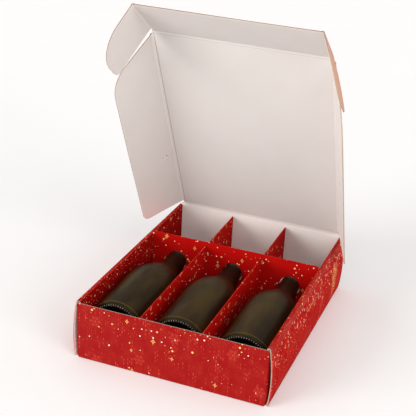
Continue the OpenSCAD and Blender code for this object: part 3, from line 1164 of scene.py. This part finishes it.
def bottle_outline(settings):
    """Half outline of a bottle from the top of its punt to the mouth: radius and height."""
    body_l, length = settings.body_l, settings.length
    punt_h, punt_r, punt_top_r = 24 * MM, BOTTLE_R - 6.5 * MM, BOTTLE_R - 21.5 * MM
    ring_l, lip_l = 8 * MM, 10 * MM
    ring_y = length - ring_l - lip_l
    neck_y = body_l + settings.shoulder_l
    neck_r, foot_r = settings.neck_r, settings.neck_r + 1.8 * MM
    ring_r, lip_r, bore_r = neck_r + 0.9 * MM, neck_r + 0.3 * MM, neck_r - 4.5 * MM
    # Each corner's radius and height, and its rounding in millimetres
    corners = [(0, punt_h, 0), (punt_top_r, punt_h, 9), (punt_r, 0, 3), (BOTTLE_R, 0, 4),
               (BOTTLE_R, body_l, 110), (foot_r, neck_y, 44), (neck_r, ring_y, 0), (ring_r, ring_y, 1),
               (ring_r, ring_y + ring_l, 1), (lip_r, ring_y + ring_l, 0), (lip_r, length, 1),
               (bore_r, length, 1), (bore_r, length - lip_l, 0), (0, length - lip_l, 0)]
    return rounded([Vector((x, y)) for x, y, _ in corners], [turn * MM for _, _, turn in corners])


def turn_bottle(settings, steps=96):
    """A bottle that stands on its base ring at the origin."""
    bm = bmesh.new()
    outline = [bm.verts.new((x, 0.0, y)) for x, y in bottle_outline(settings)]
    edges = [bm.edges.new(pair) for pair in zip(outline, outline[1:])]
    bmesh.ops.spin(bm, geom=outline + edges, cent=(0, 0, 0), axis=UP, dvec=(0, 0, 0),
                   angle=2 * math.pi, steps=steps, use_merge=True)
    bmesh.ops.remove_doubles(bm, verts=bm.verts, dist=MERGE * 10)
    bmesh.ops.recalc_face_normals(bm, faces=bm.faces)
    return bm


GLASS, GLASS_BASE, GLASS_GRIP = range(3)

# Height and proportions of a grip mark, and the space below which a bottle's glass is the near-black base
# glass, painted shade
GRIP_LIFT = 0.3 * MM
GRIP_SHAPE = Matrix.Diagonal((1.6, 0.75, 0.8, 1.0))
PUNT_INSET = 5 * MM
PUNT_TOP = 25 * MM


def set_grips(bm, settings):
    """Sets small grip marks round a bottle's base."""
    radius = BOTTLE_R - settings.grip_inset
    glass = set(bm.faces)
    for index in range(settings.grip_n):
        turn = 2 * math.pi * index / settings.grip_n
        at = Vector((radius * math.cos(turn), radius * math.sin(turn), GRIP_LIFT))
        lie = Matrix.Translation(at) @ Matrix.Rotation(turn, 4, "Z") @ GRIP_SHAPE
        bmesh.ops.create_icosphere(bm, subdivisions=1, radius=settings.grip_r, matrix=lie)
    for face in bm.faces:
        if face not in glass:
            # The grip marks take a pale finish: painted highlight and scuffing
            face.material_index = GLASS_GRIP


def dress_bottle(settings, node, side):
    """A bottle in its lane. side is -1 on the left, 0 in the middle and 1 on the right."""
    low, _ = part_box(node)
    bm = turn_bottle(settings)
    turned = Matrix.Rotation(side * settings.yaw, 4, "Z")
    lying = turned @ Matrix.Rotation(settings.tilt - math.pi / 2, 4, "X")
    corner = Vector(min((lying @ vertex.co)[axis] for vertex in bm.verts) for axis in range(3))
    for face in bm.faces:
        middle = face.calc_center_median()
        in_punt = middle.xy.length < BOTTLE_R - PUNT_INSET and middle.z < PUNT_TOP
        # The punt and the underside take the near-black base glass, which is painted shade
        face.material_index = GLASS_BASE if in_punt or face.normal.z < -UNDER else GLASS
    set_grips(bm, settings)
    lay_sheet(bm, lambda face, point: (math.atan2(point.y, point.x) * BOTTLE_R, point.z))
    bmesh.ops.transform(bm, matrix=Matrix.Translation(low - corner) @ lying, verts=bm.verts)
    finish_piece(bm, node + "_glass", "tray", ("glass", "glass_base", "glass_grip"), node)


class GIFTBOX_OT_bottles(bpy.types.Operator):
    """Turns the three bottles and sets the grip marks round their bases"""

    bl_idname = "giftbox.bottles"
    bl_label = "Bottles"

    def execute(self, context):
        for node, side in (("left_bottle", -1), ("middle_bottle", 0), ("right_bottle", 1)):
            dress_bottle(context.scene.gift_bottle, node, side)
        return {"FINISHED"}


# Ways from the box to the lights, and the colours of the lights and the sky
LIGHT_WAYS = {"key": (-1.6, -1.9, 0.6), "top": (0.5, -1.3, 1.6), "fill": (1.9, -1.0, 0.8)}
LIGHT_COLOUR = (1.0, 0.985, 0.965)
SKY_COLOUR = (1.0, 0.99, 0.98, 1.0)


def add_floor(scene, settings):
    """A wide pale floor just below the tray."""
    bm = bmesh.new()
    bmesh.ops.create_grid(bm, x_segments=2, y_segments=2, size=settings.floor_half,
                          matrix=Matrix.Translation(UP * (TRAY_LOW.z - settings.floor_drop)))
    mesh = bpy.data.meshes.new("floor")
    bm.to_mesh(mesh)
    bm.free()
    floor = bpy.data.objects.new("floor", mesh)
    mesh.materials.append(floor_finish(settings))
    scene.collection.objects.link(floor)


def add_lights(scene, settings):
    """Three wide soft lights and an even sky."""
    for name, way in LIGHT_WAYS.items():
        light = bpy.data.lights.new(name, "SUN")
        light.energy = getattr(settings, name)
        light.angle = settings.softness
        light.color = LIGHT_COLOUR
        lamp = bpy.data.objects.new(name, light)
        lamp.location = way
        lamp.rotation_euler = (-Vector(way)).to_track_quat("-Z", "Y").to_euler()
        scene.collection.objects.link(lamp)
    scene.world = bpy.data.worlds.new("studio")
    scene.world.use_nodes = True
    background = scene.world.node_tree.nodes["Background"]
    background.inputs["Color"].default_value = SKY_COLOUR
    background.inputs["Strength"].default_value = settings.sky


def add_camera(scene, settings):
    """The camera, turned by its azimuth, elevation and roll round what it looks at."""
    data = bpy.data.cameras.new("camera")
    data.sensor_width = SENSOR_MM
    data.lens = settings.focal_px * SENSOR_MM / IMAGE_SIDE
    turn, rise, roll = settings.azimuth, settings.elevation, settings.roll
    back = Vector((math.sin(turn) * math.cos(rise), -math.cos(turn) * math.cos(rise), math.sin(rise)))
    level = Vector((math.cos(turn), math.sin(turn), 0.0))
    upright = back.cross(level)
    right = level * math.cos(roll) + upright * math.sin(roll)
    above = upright * math.cos(roll) - level * math.sin(roll)
    camera = bpy.data.objects.new("camera", data)
    axes = Matrix((right, above, back)).transposed().to_4x4()
    camera.matrix_world = Matrix.Translation(Vector(settings.target) + back * settings.distance) @ axes
    scene.collection.objects.link(camera)
    scene.camera = camera


class GIFTBOX_OT_stage(bpy.types.Operator):
    """Sets up the floor, the lights and the camera"""

    bl_idname = "giftbox.stage"
    bl_label = "Stage"

    def execute(self, context):
        scene = context.scene
        add_floor(scene, scene.gift_stage)
        add_lights(scene, scene.gift_stage)
        add_camera(scene, scene.gift_stage)
        scene.view_settings.view_transform = "Standard"
        return {"FINISHED"}


class GIFTBOX_PT_parts(bpy.types.Panel):
    """Lists the parts of the gift box"""

    bl_idname = "GIFTBOX_PT_parts"
    bl_label = "Gift box"
    bl_space_type = "VIEW_3D"
    bl_region_type = "UI"
    bl_category = "Gift box"

    def draw(self, context):
        for operator in OPERATORS:
            self.layout.operator(operator.bl_idname)


OPERATORS = (GIFTBOX_OT_stage, GIFTBOX_OT_tray, GIFTBOX_OT_lid, GIFTBOX_OT_creases,
             GIFTBOX_OT_dividers, GIFTBOX_OT_bottles)
SETTINGS = {"gift_board": BoardSettings, "gift_print": PrintSettings,
            "gift_bottle": BottleSettings, "gift_stage": StageSettings}


def register():
    for name, group in SETTINGS.items():
        bpy.utils.register_class(group)
        setattr(bpy.types.Scene, name, bpy.props.PointerProperty(type=group))
    for kind in (*OPERATORS, GIFTBOX_PT_parts):
        bpy.utils.register_class(kind)


def unregister():
    for kind in (GIFTBOX_PT_parts, *reversed(OPERATORS)):
        bpy.utils.unregister_class(kind)
    for name, group in SETTINGS.items():
        delattr(bpy.types.Scene, name)
        bpy.utils.unregister_class(group)


def main():
    register()
    bpy.ops.giftbox.stage()
    bpy.ops.giftbox.tray()
    bpy.ops.giftbox.lid()
    bpy.ops.giftbox.creases()
    bpy.ops.giftbox.dividers()
    bpy.ops.giftbox.bottles()


if __name__ == "__main__":
    main()
